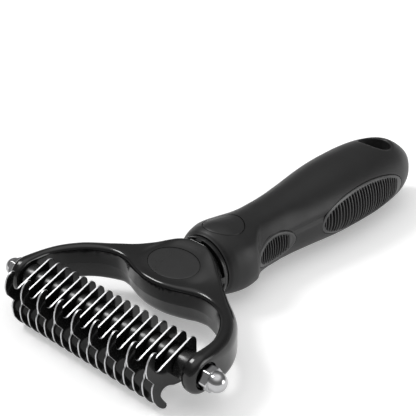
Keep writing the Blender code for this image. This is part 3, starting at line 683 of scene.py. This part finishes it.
def badge_mesh(name, side, profile, sides=128, sharp=30.0):
    """An oval solid on the badge's plane, from (share of its size, growth, height) points
    that run from its middle on top to its middle below."""
    rings = []
    for share, grow, over in profile:
        ring = []
        for number in range(sides):
            turn = 2 * math.pi * number / sides
            x = BADGE_CENTRE + (BADGE_HALF_X * share + grow) * math.cos(turn)
            y = (BADGE_HALF_Y * share + grow) * math.sin(turn)
            level = BADGE_LEVEL + BADGE_SLOPE * (x - BADGE_CENTRE) + over
            ring.append(put(x, y, side * level))
        rings.append(ring)
    return finish_mesh(loft(rings, True, True), name, sharp)


def badge_recess(side):
    """Cutter for the recess round a badge."""
    shares = steps(6, 1, 5)
    profile = [(f, 0.0, 3.0) for f in shares] + [(1.0, 0.08, 3.0), (1.0, 0.08, BADGE_FLOOR)]
    profile += [(f, 0.0, BADGE_FLOOR) for f in shares[::-1]]
    return new_object("recess", badge_mesh("recess", side, profile))


def nut_pocket(side):
    """Cutter for the round pocket that the nut sits in, with a rounded mouth."""
    lip = [(0.0, 6.0), (5.0, 6.0), (5.0, 0.15)]
    for f in steps(5):
        angle = f * math.pi / 2
        out = POCKET_RADIUS + 0.25 * (1.0 - math.sin(angle))
        lip.append((out, 0.02 - 0.25 * (1.0 - math.cos(angle))))
    lip += [(POCKET_RADIUS, 0.1 - POCKET_DEPTH), (POCKET_RADIUS - 0.1, -POCKET_DEPTH)]
    lip.append((0.0, -POCKET_DEPTH))
    lip = [(r, side * h) for r, h in lip]
    place = (AXLE_X, side * POCKET_FACE, 0.0)
    return new_object("pocket", turned_mesh("pocket", lip, 72, place, "Y"))


def make_yoke():
    turns = [math.pi / 2 * (1.0 - f) for f in steps(EYE_STEPS, 0, EYE_STEPS - 1)]
    fine = yoke_rows()
    rings = [yoke_ring(fine[0], turn) for turn in turns]
    rings += [yoke_ring(row, 0.0) for row in fine]
    mirrored = [[Vector((p[0], -p[1], p[2])) for p in ring] for ring in rings[::-1]]
    bm = loft(rings + mirrored[1:], False, False)
    bmesh.ops.remove_doubles(bm, verts=bm.verts, dist=4 * WELD)
    yoke = new_object("look_yoke_frame", finish_mesh(bm, "yoke", 32.0), YOKE_FINISH)
    cutters = []
    for side in (-1, 1):
        bore = [(0.0, 3.0), (BORE_RADIUS, 3.0), (BORE_RADIUS, -12.0), (0.0, -12.0)]
        mesh = turned_mesh("bore", bore, 32, (AXLE_X, side * 45.0, 0.0), "Y")
        cutters += [new_object("bore", mesh), nut_pocket(side), badge_recess(side)]
    carve(yoke, cutters, sharp=32.0)
    tang = [(0.0, 0.0), (TANG_RADIUS, 0.0), (TANG_RADIUS, TANG_LENGTH - 0.6)]
    tang += [(TANG_RADIUS - 0.6, TANG_LENGTH), (0.0, TANG_LENGTH)]
    rod = new_object("tang", turned_mesh("tang", tang, 48, (TANG_START, 0.0, 0.0), "X"))
    carve(yoke, [rod], "UNION", 32.0)
    settle(yoke, "gloss_nylon", "yoke_frame")
    for side, word in ((1, "upper"), (-1, "lower")):
        shares = steps(12, 1, 11)
        profile = [(f, 0.0, -0.02) for f in shares]
        profile += [(1.0, -0.2, -0.03), (1.0, -0.1, -0.05), (1.0, -0.06, -0.1), (1.0, -0.05, -0.2)]
        profile += [(1.0, -0.05, BADGE_BASE)] + [(f, 0.0, BADGE_BASE) for f in shares[::-1]]
        badge = new_object("look_badge_" + word, badge_mesh("badge", side, profile), BADGE_FINISH)
        settle(badge, "badge", "badge_" + word)


# ---------------------------------------------------------------- collar

COLLAR_SIDES = 240
COLLAR_BORE = 5.9
COLLAR_HUB = 8.6
RIB_HALF = math.radians(7.5)
RIB_SOFT = math.radians(0.9)


def make_collar():
    """A ring behind a slot that four ribs bridge, with every edge rounded."""
    rings = []
    hub, bore = COLLAR_HUB, COLLAR_BORE
    # (X, radius in the slot, radius on a rib)
    profile = [(50.4, bore, bore), (50.4, hub, hub), (50.4, hub, 10.9), (50.45, hub, 11.05)]
    profile += [(50.6, hub, 11.1), (51.35, hub, 11.1), (51.5, hub, 11.1), (51.5, 9.6, 11.1)]
    profile += [(51.5, 10.85, 11.1), (51.56, 11.05, 11.12), (51.75, 11.2, 11.2)]
    profile += [(52.95, 11.2, 11.2), (53.13, 11.1, 11.1), (53.2, 10.9, 10.9), (53.2, bore, bore)]
    for x, low, high in profile:
        ring = []
        for number in range(COLLAR_SIDES):
            turn = 2 * math.pi * number / COLLAR_SIDES
            away = abs((turn + math.pi / 4) % (math.pi / 2) - math.pi / 4)
            share = 1.0 - smooth_step(RIB_HALF - RIB_SOFT, RIB_HALF + RIB_SOFT, away)
            radius = low + (high - low) * share
            ring.append(put(x, radius * math.sin(turn), radius * math.cos(turn)))
        rings.append(ring)
    rings.append(rings[0])
    mesh = finish_mesh(loft(rings, False, False), "collar", 35.0)
    collar = new_object("look_neck_collar", mesh, COLLAR_FINISH)
    settle(collar, "gloss_nylon", "neck_collar")


# ---------------------------------------------------------------- handle

# (X, radius) along the handle, worked out by a scratch script from the photo's outline and then
# adjusted by hand. The three tables after it hold (X, factor) and were set one by one.
HANDLE_RADIUS = [
    (53.5, 11.3),
    (54.7, 12.2),
    (57.2, 13.05),
    (60.3, 13.3),
    (64.9, 12.9),
    (69.6, 12.2),
    (74.3, 11.6),
    (79.3, 11.3),
    (84.8, 11.3),
    (90.3, 11.5),
    (96.1, 11.95),
    (102.3, 12.6),
    (108.5, 13.35),
    (114.9, 14.0),
    (121.0, 14.45),
    (127.3, 14.65),
    (133.4, 14.65),
    (139.6, 14.4),
    (145.7, 13.8),
    (151.8, 12.8),
    (157.4, 11.0),
    (162.0, 8.4),
    (165.6, 5.8),
    (168.2, 3.3),
    (169.6, 0.6),
]
TOP_FACTOR = [(53.5, 1.0), (66.0, 1.0), (75.0, 1.05), (90.0, 1.08), (110.0, 1.055), (130.0, 1.045)]
TOP_FACTOR += [(155.0, 1.06), (169.6, 1.0)]
BOTTOM_FACTOR = [(53.5, 0.86), (60.0, 0.92), (70.0, 0.98), (90.0, 0.96), (110.0, 0.9)]
BOTTOM_FACTOR += [(127.0, 0.85), (169.6, 0.85)]
SIDE_FACTOR = [(53.5, 1.0), (96.0, 1.0), (118.0, 1.03), (150.0, 1.03), (169.6, 1.0)]

# (X, radius) of the hole, and (X, half length, half width) of each oval
HANG_HOLE = (149.3, 6.4)
HOLE_LIP = 1.3
REAR_GRIP = (125.6, 24.0, 8.5)
FRONT_GRIP = (78.3, 10.5, 5.6)
THUMB_PAD = (62.9, 7.3, 7.1)
GRIP_DEPTH = 0.9
# (first rib's X, last rib's X, ribs, depth, border, crown)
REAR_RIBS = (103.6, 144.8, 28, GRIP_DEPTH, 1.2, 0.0)
FRONT_RIBS = (70.2, 84.9, 12, GRIP_DEPTH, 1.4, 0.25)
CHANNEL_DEPTH = 0.5
CHANNEL_ANGLE = 75.0
CHANNEL_WIDTH = 5.0


def crease_x(angle):
    """Where the bell's rear crease lies, for an angle in degrees down from the top."""
    return 64.6 + 4.5 * ((angle - 86.0) / 45.0) ** 2


FACTORS = {}


def factors(x):
    """Radius and side, top and bottom factors at X, each worked out once."""
    if x not in FACTORS:
        tables = (HANDLE_RADIUS, SIDE_FACTOR, TOP_FACTOR, BOTTOM_FACTOR)
        FACTORS[x] = [spline(table, x) for table in tables]
    return FACTORS[x]


def handle_radius(x, angle):
    """Polar radius of the handle at X, for an angle in degrees down from the top."""
    base, wide, top, bottom = factors(x)
    side = smooth_step(26.0, 58.0, angle) * (1.0 - smooth_step(118.0, 150.0, angle))
    swell = 1.05 * smooth_step(55.0, 65.0, x)
    hollow = 0.75 * (1.0 - smooth_step(84.0, 99.0, x))
    edge = crease_x(min(angle, 140.0))
    drop = smooth_step(edge, edge + 5.0, x)
    base += side * (swell * (1.0 - drop) - hollow * drop)
    tall = top if angle < 90 else bottom
    c, s = math.cos(math.radians(angle)), math.sin(math.radians(angle))
    return base / math.sqrt((c / tall) ** 2 + (s / wide) ** 2)


def channel(x, angle):
    """The shallow groove that runs along the handle's side from one grip to the other."""
    length = smooth_step(70.0, 84.0, x) * (1.0 - smooth_step(108.0, 122.0, x))
    across = (angle - CHANNEL_ANGLE) / CHANNEL_WIDTH
    return CHANNEL_DEPTH * length * math.exp(-(across**2))


def skin_radius(x, angle):
    """The cover's radius, with the channel and the rounded mouth of the hanging hole."""
    radius = handle_radius(x, angle) - channel(x, angle)
    across = radius * math.sin(math.radians(angle))
    gap = math.hypot(x - HANG_HOLE[0], across) - HANG_HOLE[1]
    if gap < HOLE_LIP:
        inside = min(HOLE_LIP, HOLE_LIP - max(gap, 0.0))
        radius -= HOLE_LIP - math.sqrt(max(0.0, HOLE_LIP**2 - inside**2))
    return radius


def skin_stations():
    """X of the cover's rings: closer at the bell, the crease and the rounded end."""
    out = [53.5, 53.62, 53.8, 54.05, 54.35, 54.7, 55.1, 55.6, 56.2]
    out += [56.8 + 0.55 * k for k in range(170)]
    x = out[-1]
    while x < 166.0:
        x += 0.5
        out.append(x)
    while x < 169.3:
        x += max(0.06, (169.75 - x) * 0.12)
        out.append(min(x, 169.5))
    return out


def skin_ring(x, sides, radius_of):
    ring = []
    for number in range(sides):
        turn = 2 * math.pi * number / sides
        angle = math.degrees(turn)
        radius = max(0.02, radius_of(x, angle if angle <= 180 else 360 - angle))
        ring.append(put(x, radius * math.sin(turn), radius * math.cos(turn)))
    return ring


def oval_cutter(name, oval, axis, start, end, grow, sides=160):
    centre, half_long, half_high = oval
    rings = []
    for level in (start, end):
        ring = []
        for number in range(sides):
            turn = 2 * math.pi * number / sides
            x = centre + (half_long + grow) * math.cos(turn)
            other = (half_high + grow) * math.sin(turn)
            ring.append(put(x, level, other) if axis == "Y" else put(x, other, level))
        rings.append(ring)
    return new_object(name, finish_mesh(loft(rings, True, True), name, 30.0))


def make_cover():
    rings = [skin_ring(x, 192, skin_radius) for x in skin_stations()]
    mesh = finish_mesh(loft(rings, True, True), "cover", 30.0)
    cover = new_object("look_handle_cover", mesh, RUBBER_FINISH)
    cavity = [(0.0, 80.8), (7.0, 80.8), (8.5, 77.5), (8.5, 3.8), (9.9, 3.8), (9.9, -2.0)]
    cavity.append((0.0, -2.0))
    mesh = turned_mesh("cavity", cavity, 48, (53.5, 0.0, 0.0), "X")
    cutters = [new_object("cavity", mesh)]
    hole = [(0.0, 20.0), (HANG_HOLE[1], 20.0), (HANG_HOLE[1], -20.0), (0.0, -20.0)]
    mesh = turned_mesh("hole", hole, 96, (HANG_HOLE[0], 0.0, 0.0), "Z")
    cutters.append(new_object("hole", mesh))
    for side in (-1, 1):
        cutters.append(oval_cutter("recess", REAR_GRIP, "Y", side * 10.9, side * 20.0, 0.12))
        cutters.append(oval_cutter("recess", FRONT_GRIP, "Y", side * 9.2, side * 20.0, 0.12))
        cutters.append(oval_cutter("recess", THUMB_PAD, "Z", side * 10.4, side * 20.0, 0.08))
    carve(cover, cutters, sharp=30.0)
    cover.data.materials.append(HOLE_PAINTED_LIGHT_FINISH)
    # The hole's wall faces take the lighter finish: painted light
    for face in cover.data.polygons:
        x, y = face.center[0] / MM - LAYOUT_X, face.center[1] / MM
        in_hole = math.hypot(x - HANG_HOLE[0], y) < HANG_HOLE[1] + 0.02
        if in_hole and abs(face.normal[2]) < 0.1:
            face.material_index = 1
    settle(cover, "soft_rubber", "handle_cover")


def inlay(name, oval, facing, floor, rows, across, relief, depth, even):
    """An inlay that follows the handle's surface inside an oval. facing is the angle of its
    middle, down from the top. relief gives the height over the surface from X and from the
    distance to the oval's edge."""
    centre, half_long, half_high = oval
    rings = []
    for number in range(rows + 1):
        share = 2 * number / rows - 1 if even else -math.cos(math.pi * number / rows)
        share *= 0.9985
        x = centre + half_long * share
        half = half_high * math.sqrt(1.0 - share**2)
        spread = 20.0
        for _ in range(6):
            radius = handle_radius(x, abs(facing - spread) if facing < 180 else 180 - spread)
            spread = math.degrees(math.asin(min(0.95, half / radius)))
        outer, inner = [], []
        for k in range(across + 1):
            offset = spread * math.sin(math.pi / 2 * (2 * k / across - 1))
            angle = facing + offset
            folded = abs(angle) if angle <= 180 else 360 - angle
            radius = handle_radius(x, folded)
            away = radius * math.sin(math.radians(offset))
            level = math.hypot((x - centre) / half_long, away / half_high)
            slope = math.hypot((x - centre) / half_long**2, away / half_high**2)
            edge = half_high
            if level > 0.3:
                edge = max(0.0, (1.0 - level) * level / max(slope, 1e-6))
            height = relief(x, edge)
            turn = math.radians(angle)
            top = radius + height
            outer.append((x, top * math.sin(turn), top * math.cos(turn)))
            deep = min(floor / max(0.5, math.cos(math.radians(offset))), radius - depth - 0.25)
            inner.append((x, deep * math.sin(turn), deep * math.cos(turn)))
        rings.append([put(*p) for p in outer + inner[::-1]])
    return finish_mesh(loft(rings, True, True), name, 40.0)


def edge_drop(edge, radius):
    """How far a rounded rim of that radius lies below the surface, at a distance inside it."""
    if edge >= radius:
        return 0.0
    return radius - math.sqrt(max(0.0, radius**2 - (radius - edge) ** 2))


def grip_relief(first, last, ribs, depth, border, crown):
    """The relief of a grip: ribs across it with grooves between, inside a border that may
    bulge by crown."""
    pitch = (last - first) / (ribs - 1)

    def relief(x, edge):
        rim = crown * math.exp(-(((edge - 0.55 * border) / (0.45 * border)) ** 2))
        phase = (x - first) / pitch
        inside = smooth_step(border - 0.15, border + 0.35, edge)
        inside *= smooth_step(-0.75, -0.25, phase) * smooth_step(-0.75, -0.25, ribs - 1 - phase)
        away = abs((phase + 0.5) % 1.0 - 0.5)
        groove = smooth_step(0.10, 0.34, away)
        round_top = 0.12 * (away / 0.2) ** 2 if away < 0.2 else 0.12
        return rim - edge_drop(edge, 0.3) - inside * (depth * groove + round_top)

    return relief


def paint_groove_shade(mesh):
    """Faces well below the handle's surface take the darker finish, which is painted shade in the
    grooves.
    """
    for face in mesh.polygons:
        middle = face.center / MM
        x, y, z = middle[0] - LAYOUT_X, middle[1], middle[2] - AXIS_Z
        angle = math.degrees(math.atan2(abs(y), z))
        sunk = handle_radius(x, angle) - math.hypot(y, z)
        face.material_index = 1 if 0.3 < sunk < GRIP_DEPTH + 0.2 else 0


def make_grips():
    rear = grip_relief(*REAR_RIBS)
    front = grip_relief(*FRONT_RIBS)
    for word in ("far", "near"):
        for label, oval, floor, rows, across, relief in (
            ("rear", REAR_GRIP, 11.3, 324, 44, rear),
            ("front", FRONT_GRIP, 9.6, 160, 32, front),
        ):
            name = f"{label}_grip_{word}"
            mesh = inlay(name, oval, 90.0, floor, rows, across, relief, GRIP_DEPTH, True)
            if word == "near":
                mesh.transform(Matrix.Scale(-1.0, 4, Vector((0.0, 1.0, 0.0))))
                mesh.flip_normals()
            grip = new_object("look_" + name, mesh, GRIP_FINISH, GROOVE_PAINTED_SHADE_FINISH)
            paint_groove_shade(grip.data)
            settle(grip, "ribbed_rubber", name)


def make_thumb_pads():
    def relief(x, edge):
        return -edge_drop(edge, 0.45)

    for facing, word in ((0.0, "upper"), (180.0, "lower")):
        name = "thumb_pad_" + word
        mesh = inlay(name, THUMB_PAD, facing, 10.75, 44, 40, relief, 0.45, False)
        settle(new_object("look_" + name, mesh, PAD_FINISH), "soft_rubber", name)


# ---------------------------------------------------------------- stage and light

FLOOR_HALF = 6.0
FLOOR_GAP = 0.00005
# (rise of the direction, from 0 at the horizon and below to 1 straight up, grey)
WORLD_RAMP = ((0.0, 0.45), (0.22, 0.20), (0.48, 0.17), (0.70, 0.32), (0.92, 1.0))
WORLD_STRENGTH = 1.25
PANEL_DIRECTION = (0.47, -0.86, 0.16)
PANEL_ANGLES = (9.0, 22.0)
PANEL_LEVEL = 3.2
KEY_DIRECTION = (-0.17, 0.60, 0.78)
KEY_ENERGY = 1.1
KEY_ANGLE = 18.0


def soft_panel(tree, coord):
    """A round soft light in the world that shows in the reflections. It fades out between
    PANEL_ANGLES, in degrees from its middle."""
    dot = tree.nodes.new("ShaderNodeVectorMath")
    dot.operation = "DOT_PRODUCT"
    tree.links.new(coord.outputs["Generated"], dot.inputs[0])
    dot.inputs[1].default_value = Vector(PANEL_DIRECTION).normalized()
    inner, outer = (math.cos(math.radians(angle)) for angle in PANEL_ANGLES)
    return map_range(tree, dot.outputs["Value"], outer, inner, 0.0, PANEL_LEVEL)


def make_stage():
    bm = bmesh.new()
    bmesh.ops.create_grid(bm, x_segments=8, y_segments=8, size=FLOOR_HALF)
    floor = new_object("floor", finish_mesh(bm, "floor", 30.0), FLOOR_FINISH)
    floor.location = (0.0, 0.0, -FLOOR_GAP)
    shader = FLOOR_FINISH.node_tree.nodes["Principled BSDF"]
    shader.inputs["Emission Color"].default_value = (1.0, 1.0, 1.0, 1.0)
    shader.inputs["Emission Strength"].default_value = FLOOR_GLOW
    world = bpy.data.worlds.new("studio")
    bpy.context.scene.world = world
    world.use_nodes = True
    tree = world.node_tree
    back = tree.nodes["Background"]
    coord = tree.nodes.new("ShaderNodeTexCoord")
    split = tree.nodes.new("ShaderNodeSeparateXYZ")
    tree.links.new(coord.outputs["Generated"], split.inputs["Vector"])
    ramp = tree.nodes.new("ShaderNodeValToRGB")
    stops = ramp.color_ramp.elements
    for number, (position, level) in enumerate(WORLD_RAMP):
        stop = stops[number] if number < 2 else stops.new(position)
        stop.position = position
        stop.color = (level, level, level, 1.0)
    tree.links.new(split.outputs["Z"], ramp.inputs["Fac"])
    add = tree.nodes.new("ShaderNodeMath")
    add.operation = "ADD"
    tree.links.new(ramp.outputs["Color"], add.inputs[0])
    tree.links.new(soft_panel(tree, coord), add.inputs[1])
    tree.links.new(add.outputs[0], back.inputs["Color"])
    back.inputs["Strength"].default_value = WORLD_STRENGTH
    lamp = bpy.data.lights.new("key", "SUN")
    lamp.energy = KEY_ENERGY
    lamp.angle = math.radians(KEY_ANGLE)
    key = bpy.data.objects.new("key", lamp)
    bpy.context.scene.collection.objects.link(key)
    key.rotation_euler = Vector(KEY_DIRECTION).to_track_quat("Z", "Y").to_euler()
    bpy.context.scene.view_settings.view_transform = "Standard"


# ---------------------------------------------------------------- build


def dress_hidden_nodes():
    """The CAD nodes that stay, all inside other pieces or nearly so."""
    for node, finish in (
        ("blade_axle", STEEL_FINISH),
        ("tang_pin", STEEL_FINISH),
        ("handle_core", CORE_FINISH),
    ):
        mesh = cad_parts[node].data
        mesh.materials.clear()
        mesh.materials.append(finish)


make_camera()
make_blades()
make_spacers()
make_nuts()
make_yoke()
make_collar()
make_cover()
make_grips()
make_thumb_pads()
dress_hidden_nodes()
make_stage()
